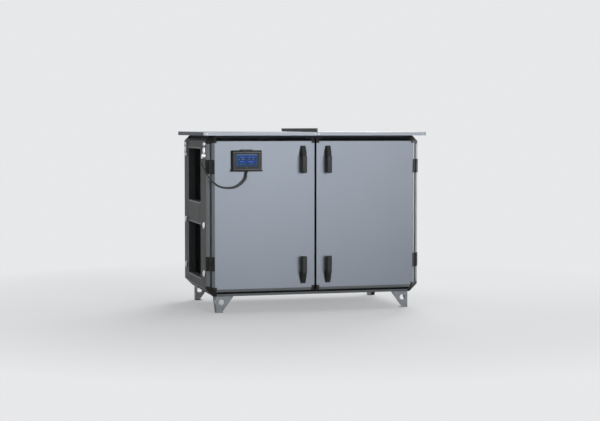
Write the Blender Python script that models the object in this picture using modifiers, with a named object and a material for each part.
"""Air handling unit: an insulated cabinet on four feet, with two hinged doors, duct openings and a flat roof.

X runs along the front, Y from the front to the back and Z up. The origin is on the floor, at the centre of
the cabinet. All sizes are in metres.
"""

import math

import bmesh
import bpy
from mathutils import Matrix, Vector
from mathutils.geometry import interpolate_bezier

# Cabinet
WIDTH = 1.620
DEPTH = 0.980
HEIGHT = 1.190
FOOT_HEIGHT = 0.120
WALL = 0.050
CHAMFER = 0.057
GROOVE_WIDTH = 0.021
GROOVE_DEPTH = 0.012

# Clearances
SEAT_GAP = 0.0003
DOOR_GAP = 0.005
SPLIT_GAP = 0.015
BACK_SEAM = 0.003
PIN_GAP = 0.0005
CUT_MARGIN = 0.001

# Frame
CORNER_REACH = 0.077
SEAT_THICKNESS = 0.004
SEAT_WIDTH = 0.027
SEAT_LAP = 0.002
POST_WIDTH = 0.060
POST_DEPTH = 0.040
FRAME_SPLIT = 0.130

# Duct openings in both ends
DUCT_LENGTH = 0.500
DUCT_HEIGHT = 0.400
LOWER_DUCT_FROM_BASE = 0.119
UPPER_DUCT_FROM_TOP = 0.111
COLLAR_THICKNESS = 0.002
COLLAR_LIP = 0.008
COLLAR_STAND = 0.0015

# Roof
ROOF_OVERHANG_FRONT = 0.043
ROOF_OVERHANG_SIDE = 0.032
ROOF_THICKNESS = 0.003
ROOF_RIM = 0.008
ROOF_FALL = 0.005
ROOF_FASCIA = 0.016
ROOF_SEAM = 0.001
CAP_WIDTH = 0.013
CAP_HEIGHT = 0.029
CAP_ROUND = 0.003
CAP_BACK_INSET = 0.020
CAP_BACK_LEAN = 0.020

# Feet
FOOT_INSET_SIDE = 0.074
FOOT_INSET_FRONT = 0.057
FOOT_TOP = 0.127
FOOT_BOTTOM = 0.047
FOOT_PLATE = 0.003
FOOT_HOLE = 0.020
FOOT_HOLE_IN = 0.041
FOOT_HOLE_DOWN = 0.043
FOOT_SOLE = 0.055
FOOT_NECK = 0.006

# Hinges
HINGE_HEIGHT = 0.103
HINGE_FROM_EDGE = 0.2425
HINGE_PROUD = 0.007
HINGE_PLATE = 0.004
HINGE_REACH = 0.039
KNUCKLE_RADIUS = 0.0065
PIN_RADIUS = 0.003
KNUCKLE_SIDE_GAP = 0.0008

# Handles
HANDLE_FROM_MIDDLE = 0.0945
HANDLE_FROM_EDGE = 0.090
HANDLE_LENGTH = 0.201
HANDLE_SHOULDER = 0.052
HANDLE_HEAD = 0.082
HANDLE_PIVOT = 0.045
HANDLE_TIP_WIDTH = 0.038
HANDLE_BASE_WIDTH = 0.056
HANDLE_FRONT_WIDTH = 0.041
LEVER_WIDTH = 0.038
LEVER_CORNER = 0.007
HANDLE_STAND = 0.054
LEVER_GAP = 0.030
LEVER_NECK = 0.013
GRIP_SLOPE = 0.026
HANDLE_TIP_STAND = 0.013
HANDLE_ROUND = 0.002

# Display on the left door
DISPLAY_WIDTH = 0.232
DISPLAY_HEIGHT = 0.153
DISPLAY_DEPTH = 0.027
DISPLAY_TAPER = 0.010
DISPLAY_FROM_END = 0.1744
DISPLAY_FROM_TOP = 0.121
DISPLAY_ROUND = 0.005
DISPLAY_TAB = 0.082
DISPLAY_TAB_RISE = 0.004
GLASS_WIDTH = 0.168
GLASS_HEIGHT = 0.111
GLASS_BASE = 0.020
GLASS_DEPTH = 0.003
RELIEF_LENGTH = 0.030
RELIEF_ROOT = 0.014
RELIEF_TOP = 0.011
RELIEF_TIP = 0.0065
RELIEF_LEAN = 0.007

# Control cable and its gland
CABLE_DIAMETER = 0.009
GLAND_RADIUS = 0.015
GLAND_REACH = 0.026
GLAND_FROM_FRONT = 0.070
GLAND_FROM_TOP = 0.162
NIPPLE_FROM_WALL = 0.0166
NIPPLE_LEAN = 0.5
NIPPLE_LENGTH = 0.022
NIPPLE_RADIUS = 0.0085
NIPPLE_TIP = 0.0065
CABLE_STEP = 0.020
CABLE_END_STEP = 0.003

# Fineness of round pieces
AROUND = 24
SHARP_ANGLE = 35
FLAT_BEVEL_ANGLE = 50
ROUTE_STEPS = 24

LOW = Vector((-WIDTH / 2, -DEPTH / 2, FOOT_HEIGHT))
HIGH = Vector((WIDTH / 2, DEPTH / 2, FOOT_HEIGHT + HEIGHT))
DIAGONAL = math.sqrt(2)
PANEL_EDGE = GROOVE_WIDTH / DIAGONAL
HINGE_INSET = CHAMFER / 2 - HINGE_PROUD / DIAGONAL


def clear_scene():
    for obj in list(bpy.data.objects):
        bpy.data.objects.remove(obj)


def new_collection(name, hidden=False):
    made = bpy.data.collections.new(name)
    made.hide_render = hidden
    bpy.context.scene.collection.children.link(made)
    return made


def new_material(name, colour, roughness, metallic=0.0):
    made = bpy.data.materials.new(name)
    made.use_nodes = True
    shader = made.node_tree.nodes["Principled BSDF"]
    shader.inputs["Base Color"].default_value = (*colour, 1.0)
    shader.inputs["Roughness"].default_value = roughness
    shader.inputs["Metallic"].default_value = metallic
    return made


clear_scene()
PARTS = new_collection("air_handling_unit")
CUTTERS = new_collection("cutters", hidden=True)
COATED = new_material("coated_steel", (0.30, 0.33, 0.38), 0.45)
GALVANISED = new_material("galvanised_steel", (0.42, 0.45, 0.50), 0.40, 0.8)
PROFILE = new_material("dark_profile", (0.03, 0.035, 0.04), 0.55)
BLACK = new_material("black_plastic", (0.025, 0.027, 0.028), 0.45)
PLATED = new_material("plated_metal", (0.85, 0.86, 0.88), 0.20, 1.0)
RUBBER = new_material("cable_jacket", (0.05, 0.055, 0.055), 0.60)
GLASS = new_material("display_glass", (0.01, 0.03, 0.12), 0.08)


def new_part(name, mesh, material):
    """A visible piece of the unit."""
    made = bpy.data.objects.new(name, mesh)
    mesh.materials.clear()
    mesh.materials.append(material)
    PARTS.objects.link(made)
    return made


def new_cutter(name, mesh):
    """A helper solid that only shapes other pieces."""
    made = bpy.data.objects.new(name, mesh)
    made.hide_render = True
    made.display_type = "WIRE"
    CUTTERS.objects.link(made)
    return made


def finished_mesh(bm, name):
    mesh = bpy.data.meshes.new(name)
    bm.to_mesh(mesh)
    bm.free()
    return mesh


def box_mesh(name, low, high):
    bm = bmesh.new()
    bmesh.ops.create_cube(bm, size=1.0)
    bmesh.ops.scale(bm, vec=Vector(high) - Vector(low), verts=bm.verts)
    bmesh.ops.translate(bm, vec=(Vector(high) + Vector(low)) / 2, verts=bm.verts)
    return finished_mesh(bm, name)


def placed_box(name, low, high, place):
    """A box in another frame, which may be a mirrored one."""
    mesh = box_mesh(name, low, high)
    mesh.transform(place)
    if place.determinant() < 0:
        mesh.flip_normals()
    return mesh


def rod_mesh(name, start, end, radius, end_radius=None, sides=AROUND):
    """A cylinder or cone from start to end, with a smooth round side."""
    start, end = Vector(start), Vector(end)
    along = end - start
    turn = along.to_track_quat("Z", "Y").to_matrix().to_4x4()
    bm = bmesh.new()
    bmesh.ops.create_cone(
        bm,
        cap_ends=True,
        segments=sides,
        radius1=radius,
        radius2=radius if end_radius is None else end_radius,
        depth=along.length,
        matrix=Matrix.Translation((start + end) / 2) @ turn,
    )
    mesh = finished_mesh(bm, name)
    mesh.shade_smooth()
    mesh.set_sharp_from_angle(angle=math.radians(SHARP_ANGLE))
    return mesh


def outline_mesh(name, points, thickness, place):
    """A flat outline, given in the XY plane of place and centred on it, with this thickness along its Z."""
    curve = bpy.data.curves.new(name, "CURVE")
    curve.dimensions = "2D"
    curve.fill_mode = "BOTH"
    curve.extrude = thickness / 2
    spline = curve.splines.new("POLY")
    spline.points.add(len(points) - 1)
    for point, (across, up) in zip(spline.points, points):
        point.co = (across, up, 0, 1)
    spline.use_cyclic_u = True
    holder = bpy.data.objects.new(name, curve)
    bpy.context.scene.collection.objects.link(holder)
    bpy.context.view_layer.update()
    graph = bpy.context.evaluated_depsgraph_get()
    mesh = bpy.data.meshes.new_from_object(holder.evaluated_get(graph))
    bpy.data.objects.remove(holder)
    bm = bmesh.new()
    bm.from_mesh(mesh)
    bmesh.ops.remove_doubles(bm, verts=bm.verts, dist=0.00001)
    bmesh.ops.transform(bm, matrix=place, verts=bm.verts)
    bmesh.ops.recalc_face_normals(bm, faces=bm.faces)
    bm.to_mesh(mesh)
    bm.free()
    return mesh


def boolean(obj, operation, other):
    modifier = obj.modifiers.new(other.name, "BOOLEAN")
    modifier.operation = operation
    modifier.object = other


def cut(obj, *others):
    for other in others:
        boolean(obj, "DIFFERENCE", other)


def join(obj, *others):
    for other in others:
        boolean(obj, "UNION", other)


def keep(obj, *others):
    for other in others:
        boolean(obj, "INTERSECT", other)


def bevel(obj, width, segments=1, angle=None):
    modifier = obj.modifiers.new("bevel", "BEVEL")
    modifier.width = width
    modifier.segments = segments
    modifier.limit_method = "NONE" if angle is None else "ANGLE"
    if angle is not None:
        modifier.angle_limit = math.radians(angle)


def set_origin(obj, point):
    obj.data.transform(Matrix.Translation(-Vector(point)))
    obj.location = point


def hang_on(obj, pivot):
    """Parents a piece to the empty on its joint's axis, where it stays in place."""
    obj.parent = pivot
    obj.location = obj.location - Vector(pivot["place"])


def new_pivot(name, place, parent=None):
    pivot = bpy.data.objects.new(name, None)
    pivot["place"] = tuple(place)
    PARTS.objects.link(pivot)
    pivot.location = place
    if parent is not None:
        hang_on(pivot, parent)
    return pivot


# The way that each wall faces.
FACES = {"front": "-Y", "back": "+Y", "left": "-X", "right": "+X", "base": "-Z", "top": "+Z"}


def facing(face):
    """The number of the axis that a wall faces along, and 1 or -1 for its way along it."""
    way, axis = FACES[face]
    return "XYZ".index(axis), 1 if way == "+" else -1


def face_region(name, face, edge, depth, limits=None):
    """The space of one wall: its sides slant inwards at 45 degrees from the face, this far inside the corner.

    limits gives plain bounds, by axis and end, in place of a slanted side.
    """
    axis, side = facing(face)
    corners = {}
    for out, inset in ((True, edge - CUT_MARGIN), (False, edge + depth)):
        low = LOW + Vector((inset,) * 3)
        high = HIGH - Vector((inset,) * 3)
        corners[out] = [low, high]
    for (limited, end), value in (limits or {}).items():
        for pair in corners.values():
            pair[end][limited] = value
    face = LOW[axis] if side < 0 else HIGH[axis]
    outer = face + side * CUT_MARGIN
    inner = face - side * depth
    bm = bmesh.new()
    bmesh.ops.create_cube(bm, size=1.0)
    for vertex in bm.verts:
        out = vertex.co[axis] * side > 0
        low, high = corners[out]
        for other in range(3):
            vertex.co[other] = high[other] if vertex.co[other] > 0 else low[other]
        vertex.co[axis] = outer if out else inner
    return finished_mesh(bm, name)


def envelope(name, material):
    """The cabinet's outer form, with all its edges cut at 45 degrees."""
    made = new_part(name, box_mesh(name, LOW, HIGH), material)
    bevel(made, CHAMFER)
    return made


def core(name, gap):
    """The cabinet's form as deep as the groove's floor, which lies this far inside or outside it."""
    margin = Vector((CUT_MARGIN,) * 3)
    made = new_cutter(name, box_mesh(name, LOW - margin, HIGH + margin))
    bevel(made, CHAMFER + (GROOVE_DEPTH + gap) * DIAGONAL + 2 * CUT_MARGIN)
    return made


def corner_places():
    for depth_name, back in (("front", 0), ("back", 1)):
        for side_name, right in (("left", 0), ("right", 1)):
            for height_name, top in (("bottom", 0), ("top", 1)):
                yield f"{depth_name}_{side_name}_{height_name}", (right, back, top)


def corner_box(name, ends, reach):
    """A box at one corner of the cabinet, reaching this far along each edge."""
    low, high = LOW.copy(), HIGH.copy()
    for axis, end in enumerate(ends):
        if end:
            low[axis] = HIGH[axis] - reach
            high[axis] = HIGH[axis] + CUT_MARGIN
        else:
            low[axis] = LOW[axis] - CUT_MARGIN
            high[axis] = LOW[axis] + reach
    return new_cutter(name, box_mesh(name, low, high))


def corner_recesses():
    """The spaces that the corner caps take out of the panels."""
    inner = core("groove_floor_inside", SEAT_GAP)
    recesses = []
    for name, ends in corner_places():
        recess = corner_box("recess_" + name, ends, CORNER_REACH + SEAT_GAP)
        cut(recess, inner)
        recesses.append((ends, recess))
    return recesses


def recesses_on(recesses, face):
    axis, side = facing(face)
    wanted = 1 if side > 0 else 0
    return [recess for ends, recess in recesses if ends[axis] == wanted]


def make_panel(name, face, recesses, limits=None):
    panel = envelope(name, COATED)
    keep(panel, new_cutter("region_" + name, face_region(name, face, PANEL_EDGE, WALL, limits)))
    cut(panel, *recesses_on(recesses, face))
    return panel


def make_walls(recesses):
    make_panel("base_panel", "base", recesses)
    make_panel("top_panel", "top", recesses)
    middle = BACK_SEAM / 2
    make_panel("back_panel_left", "back", recesses, limits={(0, 1): -middle})
    make_panel("back_panel_right", "back", recesses, limits={(0, 0): middle})


def duct_places():
    """The name, base and top of the two openings in an end wall."""
    lower = LOW.z + LOWER_DUCT_FROM_BASE
    upper = HIGH.z - UPPER_DUCT_FROM_TOP
    return (("lower", lower, lower + DUCT_HEIGHT), ("upper", upper - DUCT_HEIGHT, upper))


def make_ends(recesses):
    """The two end walls with their duct openings, and the sheet collar that lines each opening."""
    for side_name, side in (("left", -1), ("right", 1)):
        panel = make_panel("end_panel_" + side_name, side_name, recesses)
        plane = side * WIDTH / 2
        for height_name, base, top in duct_places():
            name = f"{side_name}_{height_name}"
            reach = sorted((plane + side * CUT_MARGIN, plane - side * (WALL + CUT_MARGIN)))
            hole = box_mesh(
                "hole_" + name,
                (reach[0], -DUCT_LENGTH / 2, base),
                (reach[1], DUCT_LENGTH / 2, top),
            )
            cut(panel, new_cutter("hole_" + name, hole))
            make_collar("duct_collar_" + name, plane, side, base, top)


def make_collar(name, plane, side, base, top):
    """A sleeve through the wall with a narrow lip that lies on the outer face."""
    sleeve = sorted((plane + side * COLLAR_STAND, plane - side * WALL))
    lip = sorted((plane + side * SEAT_GAP, plane + side * (SEAT_GAP + COLLAR_STAND)))
    inside = sorted((plane + side * WALL, plane - side * 2 * WALL))
    half = DUCT_LENGTH / 2
    collar = new_part(
        name,
        box_mesh(
            name,
            (sleeve[0], -half + SEAT_GAP, base + SEAT_GAP),
            (sleeve[1], half - SEAT_GAP, top - SEAT_GAP),
        ),
        GALVANISED,
    )
    flange = box_mesh(
        name + "_lip",
        (lip[0], -half - COLLAR_LIP, base - COLLAR_LIP),
        (lip[1], half + COLLAR_LIP, top + COLLAR_LIP),
    )
    bore = box_mesh(
        name + "_bore",
        (inside[0], -half + COLLAR_THICKNESS, base + COLLAR_THICKNESS),
        (inside[1], half - COLLAR_THICKNESS, top - COLLAR_THICKNESS),
    )
    join(collar, new_cutter(name + "_lip", flange))
    cut(collar, new_cutter(name + "_bore", bore))


def frame_cutters():
    """The spaces beside the frame's bars: the fixed panels fit closely, and the doors with a running gap."""
    cutters = []
    for face in FACES:
        gap = DOOR_GAP if face == "front" else SEAT_GAP
        region = face_region(face, face, PANEL_EDGE - gap * DIAGONAL, WALL + gap)
        cutters.append(new_cutter("beside_" + face, region))
    return cutters


def make_frames(cutters):
    """The bars under the grooves: a front ring with the door seat and centre post, and the rest behind it."""
    floor = core("groove_floor", 0.0)
    wall = Vector((WALL,) * 3)
    interior = new_cutter("interior", box_mesh("interior", LOW + wall, HIGH - wall))
    split = LOW.y + FRAME_SPLIT
    margin = Vector((CUT_MARGIN,) * 3)
    for name, low_y, high_y in (
        ("front_frame", LOW.y - CUT_MARGIN, split - SEAT_GAP / 2),
        ("rear_frame", split + SEAT_GAP / 2, HIGH.y + CUT_MARGIN),
    ):
        low, high = LOW - margin, HIGH + margin
        low.y = low_y
        high.y = high_y
        frame = new_part(name, box_mesh(name, low, high), PROFILE)
        keep(frame, floor)
        cut(frame, interior, *cutters)
        if name == "front_frame":
            add_door_seat(frame)


def add_door_seat(frame):
    """The flange that the doors close against, and the post behind the gap between them."""
    front = LOW.y + WALL + DOOR_GAP
    outer = WALL - SEAT_LAP
    inner = WALL + SEAT_WIDTH
    seat = box_mesh(
        "door_seat",
        (LOW.x + outer, front, LOW.z + outer),
        (HIGH.x - outer, front + SEAT_THICKNESS, HIGH.z - outer),
    )
    window = box_mesh(
        "door_window",
        (LOW.x + inner, front - CUT_MARGIN, LOW.z + inner),
        (HIGH.x - inner, front + SEAT_THICKNESS + CUT_MARGIN, HIGH.z - inner),
    )
    ring = new_cutter("door_seat", seat)
    cut(ring, new_cutter("door_window", window))
    room = WALL + SEAT_GAP
    post = box_mesh(
        "centre_post",
        (-POST_WIDTH / 2, front, LOW.z + room),
        (POST_WIDTH / 2, front + POST_DEPTH, HIGH.z - room),
    )
    join(frame, ring, new_cutter("centre_post", post))


def make_corners():
    """The moulded caps that cover the ends of the grooves at each corner, clear of the doors."""
    floor = core("groove_floor_outside", -SEAT_GAP)
    doors = face_region("cap_doors", "front", PANEL_EDGE - DOOR_GAP * DIAGONAL, WALL + DOOR_GAP)
    beside_doors = new_cutter("cap_beside_doors", doors)
    for name, ends in corner_places():
        cap = envelope("corner_" + name, BLACK)
        keep(cap, corner_box("cap_room_" + name, ends, CORNER_REACH))
        cut(cap, floor)
        if ends[1] == 0:
            cut(cap, beside_doors)


def sloped_box(name, low, high, rise):
    """A box whose top is this much higher at the back."""
    mesh = box_mesh(name, low, high)
    middle_y, middle_z = (low[1] + high[1]) / 2, (low[2] + high[2]) / 2
    for vertex in mesh.vertices:
        if vertex.co.y > middle_y and vertex.co.z > middle_z:
            vertex.co.z += rise
    return mesh


def make_roof():
    """Two sheet trays over the top panel, which fall to the front, and the standing cap over their seam."""
    front, back = LOW.y - ROOF_OVERHANG_FRONT, HIGH.y + ROOF_OVERHANG_FRONT
    seat = HIGH.z + SEAT_GAP
    top = seat + ROOF_RIM
    bottom = HIGH.z - ROOF_FASCIA
    for name, side in (("roof_sheet_left", -1), ("roof_sheet_right", 1)):
        near, far = side * ROOF_SEAM / 2, side * (WIDTH / 2 + ROOF_OVERHANG_SIDE)
        across = sorted((near, far))
        low, high = (across[0], front, bottom), (across[1], back, top)
        tray = new_part(name, sloped_box(name, low, high, ROOF_FALL), GALVANISED)
        inner_near, inner_far = near - side * CUT_MARGIN, far - side * ROOF_THICKNESS
        inside = sorted((inner_near, inner_far))
        under = box_mesh(
            name + "_under",
            (inside[0], front + ROOF_THICKNESS, bottom - CUT_MARGIN),
            (inside[1], back - ROOF_THICKNESS, seat),
        )
        cut(tray, new_cutter(name + "_under", under))
    cap_base = top + SEAT_GAP
    cap_back = back - CAP_BACK_INSET
    rise = ROOF_FALL * (cap_back - front) / (back - front)
    outline = [
        (front, cap_base),
        (cap_back, cap_base + rise),
        (cap_back + CAP_BACK_LEAN, cap_base + CAP_HEIGHT),
        (front, cap_base + CAP_HEIGHT),
    ]
    mesh = outline_mesh("roof_seam_cap", outline, CAP_WIDTH, SIDE_PLANE)
    bevel(new_part("roof_seam_cap", mesh, GALVANISED), CAP_ROUND, 2, FLAT_BEVEL_ANGLE)


# X and Y of an outline drawn in this plane are the unit's Y and Z, and its thickness lies along X.
SIDE_PLANE = Matrix(((0, 0, 1, 0), (1, 0, 0, 0), (0, 1, 0, 0), (0, 0, 0, 1)))
# X and Y of an outline drawn in this plane are the unit's X and Z, and its thickness lies along Y.
FRONT_PLANE = Matrix(((1, 0, 0, 0), (0, 0, -1, 0), (0, 1, 0, 0), (0, 0, 0, 1)))


def foot_plate(name, plane, corner, turned):
    """A plate that narrows downwards, with a lifting hole, as an outline from its outer edge inwards."""
    top = FOOT_HEIGHT - SEAT_GAP
    outline = [
        (0.0, 0.0),
        (FOOT_BOTTOM, 0.0),
        (FOOT_BOTTOM, FOOT_NECK),
        (FOOT_TOP, top - FOOT_NECK),
        (FOOT_TOP, top),
        (0.0, top),
    ]
    placed = [(corner + turned * across, up) for across, up in outline]
    return outline_mesh(name, placed, FOOT_PLATE, plane)


def make_feet():
    for depth_name, back in (("front", -1), ("back", 1)):
        for side_name, side in (("left", -1), ("right", 1)):
            make_foot(f"foot_{depth_name}_{side_name}", side, back)


def make_foot(name, side, back):
    """Two holed plates bent round a corner, on a small sole."""
    outer_x = side * (WIDTH / 2 - FOOT_INSET_SIDE)
    outer_y = back * (DEPTH / 2 - FOOT_INSET_FRONT)
    middle_x = outer_x - side * FOOT_PLATE / 2
    middle_y = outer_y - back * FOOT_PLATE / 2
    face = Matrix.Translation((0, middle_y, 0)) @ FRONT_PLANE
    flank = Matrix.Translation((middle_x, 0, 0)) @ SIDE_PLANE
    foot = new_part(name, foot_plate(name, face, outer_x, -side), GALVANISED)
    join(foot, new_cutter(name + "_flank", foot_plate(name + "_flank", flank, outer_y, -back)))
    across = sorted((outer_x, outer_x - side * FOOT_SOLE))
    along = sorted((outer_y, outer_y - back * FOOT_SOLE))
    sole = box_mesh(name + "_sole", (across[0], along[0], 0.0), (across[1], along[1], FOOT_PLATE))
    join(foot, new_cutter(name + "_sole", sole))
    hole_z = FOOT_HEIGHT - FOOT_HOLE_DOWN
    hole_x = outer_x - side * FOOT_HOLE_IN
    hole_y = outer_y - back * FOOT_HOLE_IN
    through_face = rod_mesh(
        name + "_face_hole",
        (hole_x, middle_y - FOOT_PLATE, hole_z),
        (hole_x, middle_y + FOOT_PLATE, hole_z),
        FOOT_HOLE,
    )
    through_flank = rod_mesh(
        name + "_flank_hole",
        (middle_x - FOOT_PLATE, hole_y, hole_z),
        (middle_x + FOOT_PLATE, hole_y, hole_z),
        FOOT_HOLE,
    )
    cut(foot, new_cutter(name + "_face_hole", through_face))
    cut(foot, new_cutter(name + "_flank_hole", through_flank))


def make_door(name, side):
    """An insulated door, hung on the axis in front of the corner groove."""
    limits = {(0, 1): -SPLIT_GAP / 2} if side < 0 else {(0, 0): SPLIT_GAP / 2}
    door = envelope(name, COATED)
    keep(door, new_cutter("region_" + name, face_region(name, "front", PANEL_EDGE, WALL, limits)))
    axis = hinge_axis(side)
    pivot = new_pivot("pivot_" + name, (axis.x, axis.y, LOW.z))
    set_origin(door, (axis.x, axis.y, LOW.z))
    hang_on(door, pivot)
    return pivot


def hinge_axis(side):
    return Vector((side * (WIDTH / 2 - HINGE_INSET), LOW.y + HINGE_INSET, 0.0))


def chamfer_frame(side, height):
    """On the chamfer beside the doors: X runs towards the door, Y up and Z outwards, from the hinge axis."""
    towards_door = Vector((-side, -1, 0)).normalized()
    outwards = Vector((side, -1, 0)).normalized()
    axis = hinge_axis(side)
    place = Matrix.Identity(4)
    for row in range(3):
        place[row][0] = towards_door[row]
        place[row][1] = Vector((0, 0, 1))[row]
        place[row][2] = outwards[row]
    place.translation = (axis.x, axis.y, height)
    return place


def hinge_rod(name, side, height, low, high, radius):
    """A rod on the hinge axis, between two heights above the hinge's middle."""
    axis = hinge_axis(side)
    ends = [(axis.x, axis.y, height + level) for level in (low, high)]
    return new_cutter(name, rod_mesh(name, *ends, radius))


def hinge_leaf(name, side, height, towards, outer_knuckles):
    """A leaf with its own knuckles, and notches where the other leaf's knuckles turn."""
    place = chamfer_frame(side, height)
    under = -HINGE_PROUD + SEAT_GAP
    reach_in = KNUCKLE_RADIUS + DOOR_GAP / 2
    half = HINGE_HEIGHT / 2
    middle_half = HINGE_HEIGHT / 6
    across = sorted((0.0, towards * HINGE_REACH))
    plate = placed_box(name, (across[0], -half, under), (across[1], half, under + HINGE_PLATE), place)
    leaf = new_part(name, plate, BLACK)
    gap = KNUCKLE_SIDE_GAP / 2
    spans = {"low": (-half, -middle_half - gap), "high": (middle_half + gap, half)}
    middle_span = (gap - middle_half, middle_half - gap)
    if outer_knuckles:
        own = spans
        notches = {"notch": (-middle_half - gap, middle_half + gap)}
    else:
        own = {"middle": middle_span}
        notches = {
            "low_notch": (-half - CUT_MARGIN, gap - middle_half),
            "high_notch": (middle_half - gap, half + CUT_MARGIN),
        }
    for part, (low, high) in own.items():
        join(leaf, hinge_rod(f"{name}_{part}", side, height, low, high, KNUCKLE_RADIUS))
    reach = sorted((-towards * CUT_MARGIN, towards * reach_in))
    for part, (low, high) in notches.items():
        notch = placed_box(
            f"{name}_{part}",
            (reach[0], low, under - CUT_MARGIN),
            (reach[1], high, under + HINGE_PLATE + CUT_MARGIN),
            place,
        )
        cut(leaf, new_cutter(f"{name}_{part}", notch))
    return leaf


def make_hinge(name, side, height, door_pivot):
    """Two leaves on the chamfer: the frame leaf has the outer knuckles and the pin, the door leaf one knuckle."""
    half = HINGE_HEIGHT / 2
    frame_leaf = hinge_leaf(name + "_frame_leaf", side, height, -1, True)
    pin_end = half - PIN_RADIUS
    join(frame_leaf, hinge_rod(name + "_pin", side, height, -pin_end, pin_end, PIN_RADIUS))
    door_leaf = hinge_leaf(name + "_door_leaf", side, height, 1, False)
    cut(door_leaf, hinge_rod(name + "_bore", side, height, -half, half, PIN_RADIUS + PIN_GAP))
    axis = hinge_axis(side)
    set_origin(door_leaf, (axis.x, axis.y, height))
    hang_on(door_leaf, door_pivot)


def handle_outline():
    """A handle from the front: half widths, and distances from its tip."""
    tip, base, lever = HANDLE_TIP_WIDTH / 2, HANDLE_BASE_WIDTH / 2, LEVER_WIDTH / 2
    right = [
        (tip, 0.0),
        (base, HANDLE_SHOULDER),
        (base, HANDLE_HEAD - LEVER_NECK / 2),
        (lever, HANDLE_HEAD + LEVER_NECK / 2),
        (lever, HANDLE_LENGTH - LEVER_CORNER),
        (lever - LEVER_CORNER, HANDLE_LENGTH),
    ]
    return right + [(-across, along) for across, along in reversed(right)]


def handle_profile():
    """A handle from the side: distances from the door's face (negative is before it), and from its tip."""
    return [
        (-PIN_GAP, 0.0),
        (-HANDLE_TIP_STAND, 0.0),
        (-HANDLE_STAND, HANDLE_HEAD),
        (-HANDLE_STAND, HANDLE_LENGTH),
        (-LEVER_GAP, HANDLE_LENGTH),
        (-LEVER_GAP, HANDLE_HEAD + GRIP_SLOPE),
        (-PIN_GAP, HANDLE_HEAD),
    ]


def handle_section():
    """A handle from above: its flanks lean in from the base to the front."""
    base, front = HANDLE_BASE_WIDTH / 2, HANDLE_FRONT_WIDTH / 2
    return [(-base, 0.0), (-front, -HANDLE_STAND), (front, -HANDLE_STAND), (base, 0.0)]


def make_handle(name, side, upper, door_pivot):
    """A latch with a faceted head at its pivot and a lever that points to the middle of the door's height."""
    across = side * HANDLE_FROM_MIDDLE
    down = -1 if upper else 1
    tip = HIGH.z - HANDLE_FROM_EDGE if upper else LOW.z + HANDLE_FROM_EDGE
    outline = [(across + beside, tip + down * along) for beside, along in handle_outline()]
    profile = [(LOW.y + before, tip + down * along) for before, along in handle_profile()]
    section = [(across + beside, LOW.y + before) for beside, before in handle_section()]
    face = Matrix.Translation((0, LOW.y, 0)) @ FRONT_PLANE
    flank = Matrix.Translation((across, 0, 0)) @ SIDE_PLANE
    level = Matrix.Translation((0, 0, tip))
    handle = new_part(name, outline_mesh(name, outline, 4 * HANDLE_STAND, face), BLACK)
    keep(
        handle,
        new_cutter(name + "_flank", outline_mesh(name + "_flank", profile, 2 * HANDLE_BASE_WIDTH, flank)),
        new_cutter(name + "_level", outline_mesh(name + "_level", section, 4 * HANDLE_LENGTH, level)),
    )
    bevel(handle, HANDLE_ROUND, 2, FLAT_BEVEL_ANGLE)
    place = Vector((across, LOW.y, tip + down * HANDLE_PIVOT))
    pivot = new_pivot("pivot_" + name, place, door_pivot)
    set_origin(handle, place)
    hang_on(handle, pivot)


def make_display(door_pivot):
    """A wall-box display that tapers to its front, with a release tab on top and a strain relief below."""
    left = LOW.x + DISPLAY_FROM_END
    base = display_base()
    back = LOW.y - SEAT_GAP
    front = back - DISPLAY_DEPTH
    low, high = (left, front, base), (left + DISPLAY_WIDTH, back, base + DISPLAY_HEIGHT)
    body = box_mesh("display_housing", low, high)
    taper_front(body, low, high)
    housing = new_part("display_housing", body, BLACK)
    bevel(housing, DISPLAY_ROUND, 2)
    middle = left + DISPLAY_WIDTH / 2
    tab = box_mesh(
        "display_tab",
        (middle - DISPLAY_TAB / 2, front + DISPLAY_ROUND, base + DISPLAY_HEIGHT / 2),
        (middle + DISPLAY_TAB / 2, back - DISPLAY_ROUND, base + DISPLAY_HEIGHT + DISPLAY_TAB_RISE),
    )
    exit_point = cable_entry()
    relief = rod_mesh(
        "display_relief",
        exit_point + relief_line() * (1 + RELIEF_ROOT / RELIEF_LENGTH),
        exit_point,
        RELIEF_TOP,
        RELIEF_TIP,
    )
    glass_base = base + GLASS_BASE
    recess = box_mesh(
        "display_recess",
        (middle - GLASS_WIDTH / 2 - SEAT_GAP, front - CUT_MARGIN, glass_base - SEAT_GAP),
        (middle + GLASS_WIDTH / 2 + SEAT_GAP, front + GLASS_DEPTH, glass_base + GLASS_HEIGHT + SEAT_GAP),
    )
    join(housing, new_cutter("display_tab", tab), new_cutter("display_relief", relief))
    cut(housing, new_cutter("display_recess", recess))
    glass = box_mesh(
        "display_glass",
        (middle - GLASS_WIDTH / 2, front, glass_base),
        (middle + GLASS_WIDTH / 2, front + GLASS_DEPTH - SEAT_GAP, glass_base + GLASS_HEIGHT),
    )
    screen = new_part("display_screen", glass, GLASS)
    for piece in (housing, screen):
        set_origin(piece, (middle, back, base))
        hang_on(piece, door_pivot)


def taper_front(mesh, low, high):
    """Draws a box's front corners in towards the middle of its front."""
    middle = (Vector(low) + Vector(high)) / 2
    for vertex in mesh.vertices:
        if vertex.co.y < middle.y:
            vertex.co.x += math.copysign(DISPLAY_TAPER, middle.x - vertex.co.x)
            vertex.co.z += math.copysign(DISPLAY_TAPER, middle.z - vertex.co.z)


def display_base():
    return HIGH.z - DISPLAY_FROM_TOP - DISPLAY_HEIGHT


def relief_line():
    """From the tip of the display's strain relief up to the housing's base."""
    return Vector((RELIEF_LEAN, 0, RELIEF_LENGTH))


def cable_entry():
    """Where the cable goes into the display's strain relief."""
    middle = LOW.x + DISPLAY_FROM_END + DISPLAY_WIDTH / 2
    depth = LOW.y - SEAT_GAP - DISPLAY_DEPTH / 2
    return Vector((middle, depth, display_base())) - relief_line()


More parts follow.
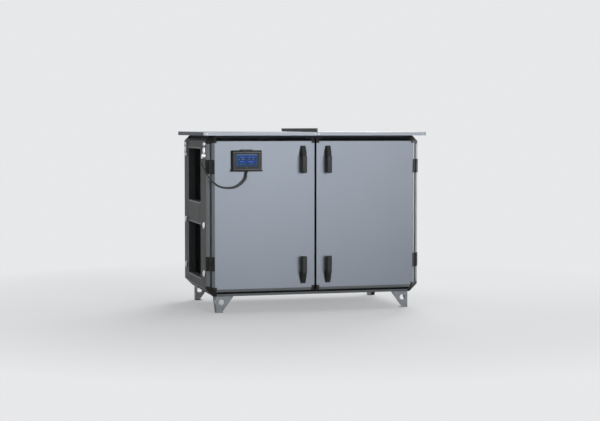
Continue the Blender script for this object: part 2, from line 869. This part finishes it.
def nipple_line():
    """From the gland's middle to the tip of its nipple, down and away from the wall."""
    return Vector((-NIPPLE_LEAN, 0, -1)).normalized() * NIPPLE_LENGTH


def gland_place():
    return Vector((LOW.x, LOW.y + GLAND_FROM_FRONT, HIGH.z - GLAND_FROM_TOP))


def cable_exit():
    """Where the cable comes out of the gland's nipple."""
    return gland_place() - Vector((NIPPLE_FROM_WALL, 0, 0)) + nipple_line()


def make_gland():
    """An elbow gland on the left end."""
    seat = gland_place() - Vector((SEAT_GAP, 0, 0))
    outer = gland_place() - Vector((GLAND_REACH, 0, 0))
    gland = new_part("cable_gland", rod_mesh("cable_gland", seat, outer, GLAND_RADIUS), PLATED)
    end = cable_exit()
    nipple = rod_mesh("gland_nipple", end - nipple_line(), end, NIPPLE_RADIUS, NIPPLE_TIP)
    join(gland, new_cutter("gland_nipple", nipple))


# The control cable's route: how far right of the left end, behind the front and below the top each point is.
CABLE_ROUTE = (
    (-0.0315, 0.0695, 0.1935),
    (-0.0330, 0.0680, 0.2050),
    (-0.0298, 0.0645, 0.2170),
    (-0.0225, 0.0570, 0.2330),
    (-0.0133, 0.0460, 0.2540),
    (-0.0022, 0.0300, 0.2802),
    (0.0063, 0.0100, 0.3035),
    (0.0162, -0.0030, 0.3198),
    (0.0247, -0.0075, 0.3320),
    (0.0392, -0.0090, 0.3465),
    (0.0538, -0.0090, 0.3582),
    (0.0758, -0.0085, 0.3750),
    (0.1002, -0.0080, 0.3855),
    (0.1280, -0.0075, 0.3915),
    (0.1550, -0.0070, 0.3925),
    (0.1850, -0.0070, 0.3895),
    (0.2130, -0.0070, 0.3800),
    (0.2380, -0.0075, 0.3640),
    (0.2600, -0.0085, 0.3450),
    (0.2750, -0.0112, 0.3250),
)
# The points of the whole route, from the gland's tip on, between which the cable bends as the door opens.
HINGE_LOOP_START = 6
HINGE_LOOP_END = 11


def route_points():
    points = [cable_exit()]
    for right, behind, below in CABLE_ROUTE:
        points.append(Vector((LOW.x + right, LOW.y + behind, HIGH.z - below)))
    points.append(cable_entry())
    return points


def smooth_route(points):
    """Closely spaced points of a smooth curve through the route, and where the route's own points are in it."""
    ways = [nipple_line().normalized()]
    ways += [(after - before).normalized() for before, after in zip(points, points[2:])]
    ways.append(relief_line().normalized())
    line, places = [], []
    for index in range(len(points) - 1):
        start, end = points[index], points[index + 1]
        third = (end - start).length / 3
        leaving = start + ways[index] * third
        arriving = end - ways[index + 1] * third
        found = interpolate_bezier(start, leaving, arriving, end, ROUTE_STEPS + 1)
        places.append(len(line))
        line += found[:-1]
    places.append(len(line))
    line.append(points[-1])
    return line, places


def distances(line):
    total, found = 0.0, [0.0]
    for before, after in zip(line, line[1:]):
        total += (after - before).length
        found.append(total)
    return found


def point_at(line, along, distance):
    """The point of the line at this distance from its start."""
    for index in range(len(line) - 1):
        if along[index + 1] >= distance:
            share = (distance - along[index]) / (along[index + 1] - along[index])
            return line[index].lerp(line[index + 1], share)
    return line[-1].copy()


def stretch_points(line, along, start, end):
    """Evenly spaced points between two distances, with a short first and last step."""
    inner_start, inner_end = start + CABLE_END_STEP, end - CABLE_END_STEP
    count = math.ceil((inner_end - inner_start) / CABLE_STEP)
    inner = [inner_start + (inner_end - inner_start) * step / count for step in range(count + 1)]
    return [point_at(line, along, distance) for distance in (start, *inner, end)]


def cable_stretch(name, points):
    curve = bpy.data.curves.new(name, "CURVE")
    curve.dimensions = "3D"
    curve.bevel_depth = CABLE_DIAMETER / 2
    curve.bevel_resolution = 2
    curve.use_fill_caps = True
    spline = curve.splines.new("POLY")
    spline.points.add(len(points) - 1)
    middle = points[len(points) // 2]
    for target, point in zip(spline.points, points):
        target.co = (*(point - middle), 1)
    curve.materials.append(RUBBER)
    tube = bpy.data.objects.new(name, curve)
    tube.location = middle
    PARTS.objects.link(tube)
    return tube


def make_cable(door_pivot):
    """Three stretches end to end: on the cabinet, in a loop round the hinge line, and on the door."""
    line, places = smooth_route(route_points())
    along = distances(line)
    loop_start, loop_end = along[places[HINGE_LOOP_START]], along[places[HINGE_LOOP_END]]
    gap = SEAT_GAP / 2
    on_cabinet = stretch_points(line, along, SEAT_GAP, loop_start - gap)
    in_loop = stretch_points(line, along, loop_start + gap, loop_end - gap)
    on_door = stretch_points(line, along, loop_end + gap, along[-1] - SEAT_GAP)
    cable_stretch("control_cable_cabinet", on_cabinet)
    cable_stretch("control_cable_hinge_loop", in_loop)
    hang_on(cable_stretch("control_cable_door", on_door), door_pivot)


def main():
    recesses = corner_recesses()
    make_walls(recesses)
    make_ends(recesses)
    make_frames(frame_cutters())
    make_corners()
    make_roof()
    make_feet()
    pivots = {}
    for side_name, side in (("left", -1), ("right", 1)):
        pivot = make_door("door_" + side_name, side)
        pivots[side_name] = pivot
        for height_name, height in (
            ("lower", LOW.z + HINGE_FROM_EDGE),
            ("upper", HIGH.z - HINGE_FROM_EDGE),
        ):
            make_hinge(f"hinge_{side_name}_{height_name}", side, height, pivot)
            make_handle(f"handle_{side_name}_{height_name}", side, height_name == "upper", pivot)
    make_display(pivots["left"])
    make_gland()
    make_cable(pivots["left"])


main()
